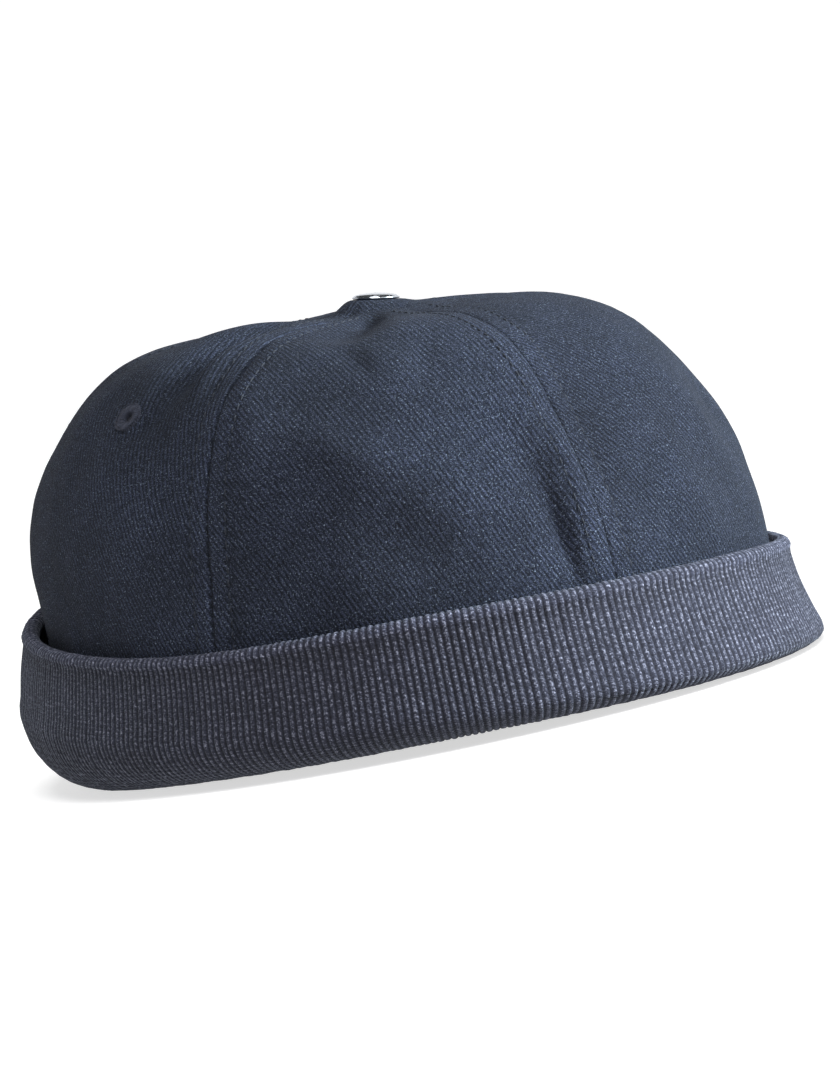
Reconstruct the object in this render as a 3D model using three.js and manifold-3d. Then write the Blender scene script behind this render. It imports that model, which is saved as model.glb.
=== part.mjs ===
// Chef cap: a brimless cap of six cotton twill panels with a turned-up rib-knit cuff,
// a metal button at the crown and stitched air holes in the side and back panels.
// Millimetres, +Z up. The cap rests on the fold of its cuff at z = 0.
// Its front looks along -Y and the wearer's right is at -X.
// Azimuths are degrees round the cap, from the front towards the wearer's right.

import * as THREE from 'three';
import { mergeVertices } from 'three/addons/utils/BufferGeometryUtils.js';
import Module from 'manifold-3d';

const wasm = await Module();
wasm.setup();

// Crown
const CROWN_LENGTH = 198; // front to back over the panels' lower edge
const CROWN_WIDTH = 172; // side to side over the panels' lower edge
const CROWN_HEIGHT = 102.8; // from the floor to the panels' tips
const CROWN_FOOT = 12.4; // height of the panels' lower edge inside the cuff
const CLOTH = 1.4; // wall of twill with its seam allowances
const PANEL_PUFF = 1.6; // how far the middle of a panel stands out past its seams
const FOLD_DEPTH = 3.5; // depth of the deepest dent in the slack crown
const TIP_FORWARD = 10.8; // how far the slumped crown carries its centre to the front
const TIP_LEFT = 3.8; // and to the wearer's left
const SLUMP_AZIMUTH = 130; // where the crown bags out fullest
const DRIFT_POWER = 1.3; // how late up the crown its centre starts to drift
const PUFF_START = 0.2; // share of the way up a panel where its puff begins
const PIECE_GAP = 0.3; // clearance between neighbouring pieces

// Cuff
const CUFF_HEIGHT = 46; // highest stretch of the turned-up band
const KNIT = 3; // thickness of the doubled rib knit
const CUFF_STANDOFF = 4; // widest gap between the crown and the band's top edge
const CUFF_FLARE = 6.8; // how far the inside of the band's belly stands off the panels
const CUFF_LIFT = 4; // how far the fold arches off the floor
const CUFF_TUCK = 10; // how far the fold rolls in under the band
const FOLD_FLAT = 2.4; // width of the knit pressed flat where it rests
const FOLD_PRESS = 0.25; // how much of the knit's thickness is pressed away there
const TURN_SHARE = 0.75; // width of the turn into the inner leg, in thicknesses of the knit

// Button and air holes
const BUTTON_DIAMETER = 11.6;
const BUTTON_THICKNESS = 2.1;
const POST_DIAMETER = 3;
const BACK_PLATE_DIAMETER = 7;
const BACK_PLATE_THICKNESS = 0.8;
const EYELET_DIAMETER = 8.2; // across the stitched ring
const EYELET_BARREL = 5; // across the thread that wraps the hole's edge
const EYELET_BORE = 2.6;
const EYELET_CORD = 0.9; // how far the thread ring stands up from the cloth
const EYELET_PLACE = 0.525; // share of the way from a panel's foot to its tip

// Fineness of the faceted surfaces
const PANEL_COLUMNS = 10;
const PANEL_ROWS = 18;
const CUFF_COLUMNS = 80;
const BUTTON_SIDES = 24;
const EYELET_SIDES = 16;

// Rows up the crown from foot to tip, for its leaner side and its fuller side:
// reach is a share of the plan's half length and half width, rise of the height above the foot.
const PROFILE = [
  { leanReach: 1.0, leanRise: 0, fullReach: 1.0, fullRise: 0 },
  { leanReach: 1.0, leanRise: 0.2, fullReach: 0.985, fullRise: 0.2 },
  { leanReach: 0.985, leanRise: 0.34, fullReach: 0.985, fullRise: 0.385 },
  { leanReach: 0.95, leanRise: 0.49, fullReach: 0.98, fullRise: 0.51 },
  { leanReach: 0.9, leanRise: 0.625, fullReach: 0.945, fullRise: 0.645 },
  { leanReach: 0.81, leanRise: 0.755, fullReach: 0.885, fullRise: 0.755 },
  { leanReach: 0.7, leanRise: 0.845, fullReach: 0.785, fullRise: 0.875 },
  { leanReach: 0.56, leanRise: 0.907, fullReach: 0.655, fullRise: 0.955 },
  { leanReach: 0.4, leanRise: 0.937, fullReach: 0.495, fullRise: 0.985 },
  { leanReach: 0.25, leanRise: 0.955, fullReach: 0.3, fullRise: 0.99 },
  { leanReach: 0.12, leanRise: 0.975, fullReach: 0.13, fullRise: 0.985 },
  { leanReach: 0, leanRise: 1, fullReach: 0, fullRise: 1 },
];

// Panels in order of azimuth, each from its own seam to the next panel's:
// seamFoot and seamTip are that seam's azimuth at the panel's foot and tip, and hole is the
// share of the way across to the next seam where its air hole lies, 0 where it has none.
const PANELS = [
  { name: 'front_right', seamFoot: 2, seamTip: 1, hole: 0 },
  { name: 'side_right', seamFoot: 68, seamTip: 61.5, hole: 0.365 },
  { name: 'back_right', seamFoot: 125, seamTip: 124, hole: 0.5 },
  { name: 'back_left', seamFoot: 182, seamTip: 180, hole: 0.5 },
  { name: 'side_left', seamFoot: 241, seamTip: 242, hole: 0.5 },
  { name: 'front_left', seamFoot: 300, seamTip: 301, hole: 0 },
];

// Dents and ridges of the slack crown. place is a share of the way from foot to tip and turn
// leans the fold's line from upright towards the wearer's right, in degrees. length and width
// are shares of the crown's height, and depth is a share of FOLD_DEPTH, below zero on a ridge.
const FOLDS = [
  { azimuth: 79, place: 0.62, turn: -48, length: 0.26, width: 0.1, depth: 1 },
  { azimuth: 75, place: 0.52, turn: -35, length: 0.2, width: 0.07, depth: -0.3 },
  { azimuth: 28, place: 0.74, turn: -6, length: 0.17, width: 0.09, depth: 0.8 },
  { azimuth: 10, place: 0.15, turn: 5, length: 0.15, width: 0.05, depth: 0.75 },
  { azimuth: 56, place: 0.2, turn: -25, length: 0.24, width: 0.11, depth: 0.45 },
  { azimuth: 44, place: 0.33, turn: 20, length: 0.2, width: 0.1, depth: 0.35 },
  { azimuth: 28, place: 0.22, turn: 10, length: 0.22, width: 0.1, depth: 0.35 },
  { azimuth: 21, place: 0.36, turn: -15, length: 0.2, width: 0.1, depth: -0.35 },
  { azimuth: 340, place: 0.24, turn: 18, length: 0.24, width: 0.1, depth: 0.3 },
  { azimuth: 318, place: 0.32, turn: -25, length: 0.26, width: 0.11, depth: 0.3 },
  { azimuth: 150, place: 0.42, turn: 35, length: 0.3, width: 0.11, depth: 0.6 },
  { azimuth: 205, place: 0.34, turn: -40, length: 0.3, width: 0.12, depth: 0.55 },
  { azimuth: 262, place: 0.4, turn: 30, length: 0.28, width: 0.12, depth: 0.45 },
];

// Sections of the cuff at equal steps of azimuth from CUFF_START. top is the share of CUFF_HEIGHT
// that the band reaches, lift of CUFF_LIFT, standoff of CUFF_STANDOFF at the top edge, flare of
// CUFF_FLARE and tuck of CUFF_TUCK. belly is the share of the band's height where it is widest,
// and bow bends the band between its top edge and its belly.
const CUFF_START = -60;
const CUFF_RING = [
  { top: 0.565, lift: 0, standoff: 0.5, flare: 0.93, belly: 0.15, bow: 1.6, tuck: -0.2 },
  { top: 0.65, lift: 0.5, standoff: 0.5, flare: 0.84, belly: 0.2, bow: 1.2, tuck: -0.1 },
  { top: 0.72, lift: 1, standoff: 0.48, flare: 0.78, belly: 0.3, bow: 0.9, tuck: 0.2 },
  { top: 0.76, lift: 0.6, standoff: 0.53, flare: 0.81, belly: 0.38, bow: 0.8, tuck: 0.6 },
  { top: 0.89, lift: 0, standoff: 0.78, flare: 1, belly: 0.5, bow: 0.8, tuck: 1 },
  { top: 1, lift: 0, standoff: 1, flare: 0.97, belly: 0.5, bow: 0.8, tuck: 0.8 },
  { top: 0.85, lift: 0, standoff: 0.75, flare: 0.9, belly: 0.35, bow: 0.9, tuck: 0.4 },
  { top: 0.65, lift: 0, standoff: 0.5, flare: 0.9, belly: 0.2, bow: 1.2, tuck: 0 },
];

// Stretches of the cuff's section: down the band, round the fold and up the inner leg
const BAND_SHARES = [0, 0.4, 0.75, 1];
const FOLD_ANGLES = [25, 50, 72];
const LEG_SHARES = [
  { inward: 1, up: 0.24 },
  { inward: 0.55, up: 0.62 },
  { inward: 0, up: 1 },
];

const { clamp, degToRad, lerp } = THREE.MathUtils;
const tipRadius = POST_DIAMETER / 2 + PIECE_GAP;
const holeRadius = EYELET_BARREL / 2 + PIECE_GAP;

const twill = new THREE.MeshStandardMaterial({ color: 0x3b4251, roughness: 0.95, metalness: 0 });
const ribKnit = new THREE.MeshStandardMaterial({ color: 0x3d4454, roughness: 0.95, metalness: 0 });
const thread = new THREE.MeshStandardMaterial({ color: 0x363c4b, roughness: 0.8, metalness: 0 });
const metal = new THREE.MeshStandardMaterial({ color: 0xc8cdd6, roughness: 0.2, metalness: 1 });

// Smooth curve through four neighbouring values, at a share of the way between the middle two
function catmullRom(before, from, to, after, share) {
  const slope = to - before;
  const bend = 2 * before - 5 * from + 4 * to - after;
  const twist = 3 * (from - to) + after - before;
  return from + 0.5 * share * (slope + share * (bend + share * twist));
}

// Every column of a table at a fractional row; rowAt gives the row of any whole number
function tableRow(rowAt, place) {
  const index = Math.floor(place);
  const rows = [-1, 0, 1, 2].map((step) => rowAt(index + step));
  const values = {};
  for (const column of Object.keys(rows[0])) {
    values[column] = catmullRom(...rows.map((row) => row[column]), place - index);
  }
  return values;
}

function profileAt(place) {
  const last = PROFILE.length - 1;
  return tableRow((index) => PROFILE[clamp(index, 0, last)], place * last);
}

function cuffRowAt(azimuth) {
  const count = CUFF_RING.length;
  const place = (azimuth - CUFF_START) / (360 / count);
  return tableRow((index) => CUFF_RING[((index % count) + count) % count], place);
}

// Signed turn from one azimuth to another, the short way round, in degrees
function turnBetween(from, to) {
  return ((((to - from + 180) % 360) + 360) % 360) - 180;
}

// The crown without puff or folds, one smooth sheet through all six panels
function smoothCrown(azimuth, place) {
  const row = profileAt(place);
  const angle = degToRad(azimuth);
  const fullness = (1 + Math.cos(angle - degToRad(SLUMP_AZIMUTH))) / 2;
  const reach = lerp(row.leanReach, row.fullReach, fullness);
  const rise = lerp(row.leanRise, row.fullRise, fullness);
  const drift = Math.max(0, 1 - reach) ** DRIFT_POWER;
  return new THREE.Vector3(
    -Math.sin(angle) * lerp(tipRadius, CROWN_WIDTH / 2, reach) + TIP_LEFT * drift,
    -Math.cos(angle) * lerp(tipRadius, CROWN_LENGTH / 2, reach) - TIP_FORWARD * drift,
    lerp(CROWN_FOOT, CROWN_HEIGHT, rise)
  );
}

// Outward direction of the smooth crown, the same on both sides of a seam
function crownNormal(azimuth, place) {
  const step = 0.01;
  const leftToRight = smoothCrown(azimuth - 1, place).sub(smoothCrown(azimuth + 1, place));
  const upper = smoothCrown(azimuth, Math.min(place + step, 1));
  const upward = upper.sub(smoothCrown(azimuth, Math.max(place - step, 0)));
  return leftToRight.cross(upward).normalize();
}

// Depth of all folds together: each is a trough that fades smoothly along and across its line.
// A panel narrows towards its tip, and is about one and a half crown heights long.
function foldDepth(azimuth, place) {
  const roundness = 1 - 0.85 * place ** 2;
  const panelLength = 1.5;
  let depth = 0;
  for (const fold of FOLDS) {
    const aside = degToRad(turnBetween(fold.azimuth, azimuth)) * roundness;
    const above = (place - fold.place) * panelLength;
    const lean = degToRad(fold.turn);
    const along = above * Math.cos(lean) + aside * Math.sin(lean);
    const across = aside * Math.cos(lean) - above * Math.sin(lean);
    depth += fold.depth * Math.exp(-((along / fold.length) ** 2) - (across / fold.width) ** 2);
  }
  return FOLD_DEPTH * depth * Math.sin(Math.PI * place) ** 0.5;
}

// Point of a panel: share runs from its own seam to the next one, place from foot to tip,
// and sunk is the depth below the cloth's outer face
function panelPoint(panel, next, share, place, sunk) {
  const seam = lerp(panel.seamFoot, panel.seamTip, place);
  const width = turnBetween(seam, lerp(next.seamFoot, next.seamTip, place));
  const oneDegree = smoothCrown(seam - 0.5, place).distanceTo(smoothCrown(seam + 0.5, place));
  const margin = PIECE_GAP / 2 / oneDegree;
  const azimuth = seam + lerp(margin, width - margin, share);
  const swell = Math.sin(Math.PI * clamp((place - PUFF_START) / (1 - PUFF_START), 0, 1));
  const puff = PANEL_PUFF * Math.sin(Math.PI * share) * swell;
  const out = puff - foldDepth(azimuth, place) - sunk;
  return smoothCrown(azimuth, place).addScaledVector(crownNormal(azimuth, place), out);
}

function meshFromTriangles(points, triangles) {
  const geometry = new THREE.BufferGeometry();
  const numbers = points.flatMap((point) => point.toArray());
  geometry.setAttribute('position', new THREE.Float32BufferAttribute(numbers, 3));
  geometry.setIndex(triangles.flat());
  return geometry;
}

// Closed wall between an outer and an inner grid of points, both rows by columns
function wallBetween(outer, inner) {
  const rows = outer.length;
  const columns = outer[0].length;
  const points = [...outer.flat(), ...inner.flat()];
  const triangles = [];
  const at = (row, column, side) => side * rows * columns + row * columns + column;
  const quad = (a, b, c, d) => triangles.push([a, b, c], [a, c, d]);
  for (let row = 0; row < rows - 1; row += 1) {
    for (let column = 0; column < columns - 1; column += 1) {
      const corners = [[0, 0], [1, 0], [1, 1], [0, 1]];
      const face = (side) => corners.map(([up, on]) => at(row + up, column + on, side));
      quad(...face(0));
      quad(...face(1).reverse());
    }
    const last = columns - 1;
    quad(at(row, 0, 0), at(row, 0, 1), at(row + 1, 0, 1), at(row + 1, 0, 0));
    quad(at(row + 1, last, 0), at(row + 1, last, 1), at(row, last, 1), at(row, last, 0));
  }
  for (let column = 0; column < columns - 1; column += 1) {
    const last = rows - 1;
    quad(at(0, column + 1, 0), at(0, column + 1, 1), at(0, column, 1), at(0, column, 0));
    quad(at(last, column, 0), at(last, column, 1), at(last, column + 1, 1), at(last, column + 1, 0));
  }
  return meshFromTriangles(points, triangles);
}

// Closed ring through sections of equally many points, the last joined to the first
function ringThrough(sections) {
  const count = sections.length;
  const size = sections[0].length;
  const triangles = [];
  for (let section = 0; section < count; section += 1) {
    for (let point = 0; point < size; point += 1) {
      const here = section * size;
      const there = ((section + 1) % count) * size;
      const after = (point + 1) % size;
      triangles.push([here + point, here + after, there + after]);
      triangles.push([here + point, there + after, there + point]);
    }
  }
  return meshFromTriangles(sections.flat(), triangles);
}

function toSolid(geometry) {
  const bare = geometry.clone();
  bare.deleteAttribute('normal');
  bare.deleteAttribute('uv');
  const merged = mergeVertices(bare, 1e-4);
  const vertProperties = new Float32Array(merged.attributes.position.array);
  const triVerts = new Uint32Array(merged.index.array);
  return new wasm.Manifold(new wasm.Mesh({ numProp: 3, vertProperties, triVerts }));
}

function toGeometry(solid) {
  const mesh = solid.getMesh();
  const geometry = new THREE.BufferGeometry();
  geometry.setAttribute('position', new THREE.BufferAttribute(mesh.vertProperties, 3));
  geometry.setIndex(new THREE.BufferAttribute(mesh.triVerts, 1));
  return geometry;
}

// Where a panel's air hole sits: its centre on the outer face and the turn of its axis
function airHoleSeat(panel, next) {
  const step = 0.02;
  const { hole } = panel;
  const point = (share, place) => panelPoint(panel, next, share, place, 0);
  const centre = point(hole, EYELET_PLACE);
  const leftToRight = point(hole - step, EYELET_PLACE).sub(point(hole + step, EYELET_PLACE));
  const upward = point(hole, EYELET_PLACE + step).sub(point(hole, EYELET_PLACE - step));
  const axis = leftToRight.cross(upward).normalize();
  const turn = new THREE.Quaternion().setFromUnitVectors(new THREE.Vector3(0, 0, 1), axis);
  return { centre, turn };
}

function panelGeometry(panel, next) {
  const grid = (sunk) => Array.from({ length: PANEL_ROWS + 1 }, (_, row) =>
    Array.from({ length: PANEL_COLUMNS + 1 }, (_, column) =>
      panelPoint(panel, next, column / PANEL_COLUMNS, row / PANEL_ROWS, sunk)));
  const cloth = wallBetween(grid(0), grid(CLOTH));
  if (panel.hole === 0) {
    return cloth;
  }
  const seat = airHoleSeat(panel, next);
  const punch = new THREE.CylinderGeometry(holeRadius, holeRadius, 6 * CLOTH, EYELET_SIDES);
  punch.rotateX(Math.PI / 2).applyQuaternion(seat.turn);
  punch.translate(...seat.centre.toArray());
  return toGeometry(toSolid(cloth).subtract(toSolid(punch)));
}

// Middle line of the cuff's section at one azimuth, from the band's top edge to the inner
// leg's: out from the panels' lower edge and up from the floor
function cuffMiddle(row) {
  const half = KNIT / 2;
  const floor = CUFF_LIFT * Math.max(0, row.lift);
  const height = CUFF_HEIGHT * row.top;
  const edge = { out: half + CUFF_STANDOFF * row.standoff, up: height - half };
  const belly = { out: half + CUFF_FLARE * row.flare, up: lerp(floor, height, row.belly) };
  const fold = { out: -CUFF_TUCK * row.tuck, up: floor + half - FOLD_PRESS };
  const leg = { out: -half, up: CROWN_FOOT - PIECE_GAP };
  const turnIn = fold.out - FOLD_FLAT / 2 - TURN_SHARE * KNIT;
  const band = BAND_SHARES.map((share) => ({
    out: lerp(edge.out, belly.out, share ** row.bow),
    up: lerp(edge.up, belly.up, share),
  }));
  const roll = FOLD_ANGLES.map((angle) => ({
    out: lerp(fold.out + FOLD_FLAT / 2, belly.out, Math.cos(degToRad(angle))),
    up: lerp(belly.up, fold.up, Math.sin(degToRad(angle))),
  }));
  const rest = [0.5, -0.5].map((side) => ({ out: fold.out + side * FOLD_FLAT, up: fold.up }));
  const rise = LEG_SHARES.map((share) => ({
    out: lerp(leg.out, turnIn, share.inward),
    up: lerp(fold.up, leg.up, share.up),
  }));
  return [...band, ...roll, ...rest, ...rise];
}

// The section's outline: the middle line set off to both sides, its top edge rounded
// and its inner leg cut level under the panels
function cuffOutline(row) {
  const middle = cuffMiddle(row);
  const last = middle.length - 1;
  const setOff = (side) => middle.map((point, index) => {
    const before = middle[Math.max(index - 1, 0)];
    const after = middle[Math.min(index + 1, last)];
    const run = { out: after.out - before.out, up: after.up - before.up };
    const away = index === last ? { out: 1, up: 0 } : { out: -run.up, up: run.out };
    const scale = (index === last ? -side : side) * KNIT / 2 / Math.hypot(away.out, away.up);
    return { out: point.out + away.out * scale, up: Math.max(0, point.up + away.up * scale) };
  });
  const crest = { out: middle[0].out, up: middle[0].up + KNIT / 2 };
  return [...setOff(1).reverse(), crest, ...setOff(-1)];
}

function cuffGeometry() {
  const sections = Array.from({ length: CUFF_COLUMNS }, (_, column) => {
    const azimuth = (360 * column) / CUFF_COLUMNS;
    const angle = degToRad(azimuth);
    const edge = new THREE.Vector3(
      -Math.sin(angle) * CROWN_WIDTH / 2,
      -Math.cos(angle) * CROWN_LENGTH / 2,
      0
    );
    const outward = new THREE.Vector3(
      -Math.sin(angle) * CROWN_LENGTH,
      -Math.cos(angle) * CROWN_WIDTH,
      0
    ).normalize();
    return cuffOutline(cuffRowAt(azimuth)).map((point) =>
      edge.clone().addScaledVector(outward, point.out).setZ(point.up));
  });
  return ringThrough(sections);
}

// Solid of revolution about +Z from pairs of radius and height
function turned(pairs, sides) {
  const profile = pairs.map(([radius, height]) => new THREE.Vector2(radius, height));
  return new THREE.LatheGeometry(profile, sides).rotateX(Math.PI / 2);
}

// Heights are from the outer face of the cloth at the panels' tips
function buttonGeometry() {
  const radius = BUTTON_DIAMETER / 2;
  const post = POST_DIAMETER / 2;
  const plate = BACK_PLATE_DIAMETER / 2;
  const plateTop = -CLOTH - PIECE_GAP;
  const plateBottom = plateTop - BACK_PLATE_THICKNESS;
  const under = PIECE_GAP;
  const dome = (share) => under + BUTTON_THICKNESS * share;
  return turned([
    [0, plateBottom],
    [plate * 0.85, plateBottom],
    [plate, lerp(plateBottom, plateTop, 0.4)],
    [plate * 0.9, lerp(plateBottom, plateTop, 0.6)],
    [post, plateTop],
    [post, under],
    [radius * 0.86, under],
    [radius, dome(0.25)],
    [radius, dome(0.5)],
    [radius * 0.93, dome(0.78)],
    [radius * 0.6, dome(0.95)],
    [0, dome(1)],
  ], BUTTON_SIDES);
}

// Heights are from the outer face of the cloth round the hole
function eyeletGeometry() {
  const bore = EYELET_BORE / 2;
  const barrel = EYELET_BARREL / 2;
  const ring = EYELET_DIAMETER / 2;
  const crest = PIECE_GAP + EYELET_CORD;
  return turned([
    [bore, -CLOTH],
    [barrel, -CLOTH],
    [barrel, PIECE_GAP],
    [ring * 0.95, PIECE_GAP],
    [ring, lerp(PIECE_GAP, crest, 0.4)],
    [lerp(bore, ring, 0.7), crest],
    [lerp(bore, ring, 0.3), crest],
    [bore, lerp(PIECE_GAP, crest, 0.4)],
    [bore, -CLOTH],
  ], EYELET_SIDES);
}

function piece(name, geometry, material) {
  geometry.computeVertexNormals();
  const mesh = new THREE.Mesh(geometry, material);
  mesh.name = name;
  return mesh;
}

const cap = new THREE.Group();
PANELS.forEach((panel, index) => {
  const next = PANELS[(index + 1) % PANELS.length];
  cap.add(piece(`${panel.name}_panel`, panelGeometry(panel, next), twill.clone()));
  if (panel.hole > 0) {
    const seat = airHoleSeat(panel, next);
    const eyelet = piece(`eyelet_${panel.name}`, eyeletGeometry(), thread.clone());
    eyelet.position.copy(seat.centre);
    eyelet.quaternion.copy(seat.turn);
    cap.add(eyelet);
  }
});
const button = piece('top_button', buttonGeometry(), metal);
button.position.set(TIP_LEFT, -TIP_FORWARD, CROWN_HEIGHT);
cap.add(button, piece('cuff', cuffGeometry(), ribKnit));

// The origin is under the middle of the whole cap, on the floor
const box = new THREE.Box3().setFromObject(cap);
const middle = box.getCenter(new THREE.Vector3());
cap.position.set(-middle.x, -middle.y, -box.min.z);

export default cap;
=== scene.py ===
import bpy
import numpy as np
from bpy.props import FloatProperty, FloatVectorProperty, IntProperty, PointerProperty
from bpy.types import Operator, Panel, PropertyGroup
from mathutils import Matrix, Vector


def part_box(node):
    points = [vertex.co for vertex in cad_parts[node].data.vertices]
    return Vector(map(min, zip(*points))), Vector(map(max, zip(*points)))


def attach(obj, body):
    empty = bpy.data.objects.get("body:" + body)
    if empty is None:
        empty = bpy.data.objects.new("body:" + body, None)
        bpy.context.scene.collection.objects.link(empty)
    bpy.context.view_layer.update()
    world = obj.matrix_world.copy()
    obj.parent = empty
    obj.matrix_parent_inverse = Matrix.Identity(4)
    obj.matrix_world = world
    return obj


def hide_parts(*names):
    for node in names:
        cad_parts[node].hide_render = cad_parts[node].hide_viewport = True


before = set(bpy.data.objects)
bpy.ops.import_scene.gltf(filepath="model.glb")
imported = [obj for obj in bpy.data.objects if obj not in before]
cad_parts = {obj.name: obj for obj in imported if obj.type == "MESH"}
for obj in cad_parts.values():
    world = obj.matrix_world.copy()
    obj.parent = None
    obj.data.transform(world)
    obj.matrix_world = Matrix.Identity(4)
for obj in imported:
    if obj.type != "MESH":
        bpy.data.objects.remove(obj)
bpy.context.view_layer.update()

bl_info = {
    "name": "Chef cap",
    "version": (1, 0, 0),
    "blender": (4, 5, 0),
    "location": "3D View > Sidebar > Chef cap",
    "description": "Twill crown, rib-knit cuff, metal button and stitched air holes of a chef cap",
    "category": "Add Mesh",
}

BODY = "root"
MM = 0.001

# Azimuths are degrees round the cap, from its front at -Y towards the wearer's right at -X.
# Rows up the crown from foot to tip: reach and rise on its leaner side, then on its fuller side.
# Reach is a share of the plan's half length and half width, rise of the height above the foot.
PROFILE = np.array([
    (1.0, 0.0, 1.0, 0.0),
    (1.008, 0.2, 0.985, 0.2),
    (0.997, 0.34, 0.985, 0.385),
    (0.96, 0.49, 0.98, 0.51),
    (0.9, 0.625, 0.945, 0.645),
    (0.81, 0.755, 0.885, 0.755),
    (0.7, 0.845, 0.785, 0.875),
    (0.56, 0.907, 0.655, 0.955),
    (0.4, 0.937, 0.495, 0.985),
    (0.25, 0.955, 0.3, 0.99),
    (0.12, 0.975, 0.13, 0.985),
    (0.0, 1.0, 0.0, 1.0),
])
SLUMP_AZIMUTH = 130.0
DRIFT_POWER = 1.3
PUFF_START = 0.2

# Panels: node, azimuth of its own seam at foot and tip, bow of that seam halfway up in degrees,
# how sharply it shows, and its air hole's share of the way across to the next seam, 0 for none
PANELS = (
    ("front_right", 2.0, 1.0, 1.2, 0.45, 0.0),
    ("side_right", 68.0, 61.5, -2.0, 1.0, 0.385),
    ("back_right", 125.0, 124.0, 0.0, 0.7, 0.5),
    ("back_left", 182.0, 180.0, 0.0, 0.7, 0.5),
    ("side_left", 241.0, 242.0, 0.0, 0.7, 0.5),
    ("front_left", 300.0, 301.0, 0.0, 0.7, 0.0),
)
AIR_HOLE_PLACE = 0.525

# Dents and ridges: azimuth, share of the way from foot to tip, lean of the line in degrees
# towards the wearer's right, length and width as shares of the crown's height, and depth as a
# share of the deepest fold, below zero on a ridge
FOLDS = (
    (80, 0.66, 2, 0.18, 0.06, 1.25),
    (71.5, 0.62, 2, 0.15, 0.045, -0.55),
    (94, 0.79, 0, 0.09, 0.15, -0.5),
    (39, 0.73, 0, 0.15, 0.11, 1.2),
    (21, 0.57, -18, 0.12, 0.09, 0.45),
    (34, 0.34, 60, 0.26, 0.085, -0.55),
    (51, 0.27, -6, 0.22, 0.09, 0.8),
    (59, 0.47, -2, 0.22, 0.085, -0.5),
    (33, 0.20, 70, 0.16, 0.08, 0.3),
    (10.6, 0.20, 3, 0.18, 0.045, 0.5),
    (4.8, 0.27, 2, 0.22, 0.045, -0.5),
    (17, 0.36, 0, 0.16, 0.07, 0.35),
    (352, 0.20, -27, 0.12, 0.06, 0.3),
    (335, 0.26, 18, 0.22, 0.09, 0.3),
    (318, 0.32, -25, 0.26, 0.11, 0.3),
    (150, 0.42, 35, 0.30, 0.11, 0.6),
    (205, 0.34, -40, 0.30, 0.12, 0.55),
    (262, 0.40, 30, 0.28, 0.12, 0.45),
)

# Finer creases that only show close to, in the same columns
CREASES = (
    (76, 0.70, 2, 0.13, 0.035, 0.4),
    (9.0, 0.15, 4, 0.14, 0.024, 0.7),
    (12, 0.30, 10, 0.12, 0.05, 0.35),
    (35, 0.83, 4, 0.08, 0.05, 0.8),
    (4.5, 0.385, -4, 0.05, 0.03, 0.3),
    (36, 0.56, 28, 0.07, 0.03, 0.22),
    (23, 0.53, -22, 0.08, 0.03, 0.22),
    (83, 0.50, -60, 0.08, 0.035, 0.2),
    (350, 0.12, -14, 0.10, 0.03, 0.22),
    (64, 0.16, 8, 0.10, 0.03, 0.2),
    (98, 0.13, 16, 0.10, 0.03, 0.22),
    (190, 0.16, -10, 0.12, 0.03, 0.25),
    (236, 0.15, 12, 0.12, 0.03, 0.25),
    (288, 0.14, -8, 0.10, 0.03, 0.22),
)

# Sections of the cuff at equal steps of azimuth from CUFF_START: top, lift, standoff and flare
# as shares of their sizes, height share of the belly, bow of the band, and tuck of the fold
CUFF_START = -60.0
CUFF_RING = np.array([
    (0.565, 0.0, 0.50, 0.93, 0.12, 1.6, -0.2),
    (0.630, 0.3, 0.45, 0.84, 0.12, 1.3, -0.1),
    (0.700, 0.7, 0.35, 0.62, 0.20, 1.4, 0.2),
    (0.725, 0.5, 0.30, 0.74, 0.34, 1.2, 0.6),
    (0.875, 0.0, 0.42, 0.98, 0.50, 0.8, 1.0),
    (1.000, 0.0, 1.00, 0.97, 0.50, 0.8, 0.8),
    (0.850, 0.0, 0.75, 0.90, 0.35, 0.9, 0.4),
    (0.650, 0.0, 0.50, 0.90, 0.20, 1.2, 0.0),
])
# Middle of a painted pool of light on the front of the cuff, on the side the key light falls on
PAINTED_LIGHT_AZIMUTH = -8.0
BAND_SHARES = (0.0, 0.4, 0.75, 1.0)
ROLL_ANGLES = (25.0, 50.0, 72.0)
LEG_SHARES = ((1.0, 0.24), (0.55, 0.62), (0.0, 1.0))

# Slope of the button's seat along X and Y: it leans to the wearer's left and front
BUTTON_LEAN = (0.15, -0.093)

# The photograph's view: azimuth and elevation of the camera, its roll, and how far right of
# and below the middle of the cap it aims
VIEW_AZIMUTH = -32.0
VIEW_ELEVATION = 3.9
VIEW_ROLL = 12.3
VIEW_DISTANCE = 1.5
VIEW_LENS = 202.0
VIEW_AIM_HEIGHT = 0.05
VIEW_AIM_RIGHT = 0.0083
VIEW_AIM_DOWN = 0.0054


def size(name, label, value, low=0.0, high=1.0):
    """A length in metres that the sidebar shows."""
    return FloatProperty(
        name=name, description=label, default=value, min=low, max=high, unit="LENGTH", precision=5
    )


def colour(name, label, hex_code):
    """A colour that the sidebar shows, kept linear."""
    return FloatVectorProperty(
        name=name, description=label, default=linear(hex_code)[:3], size=3, subtype="COLOR",
        min=0.0, max=1.0,
    )


def linear(hex_code):
    """The linear colour of an sRGB hex code, with alpha 1."""
    parts = [int(hex_code[i:i + 2], 16) / 255 for i in (1, 3, 5)]
    return tuple(c / 12.92 if c <= 0.04045 else ((c + 0.055) / 1.055) ** 2.4 for c in parts) + (1.0,)


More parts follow.
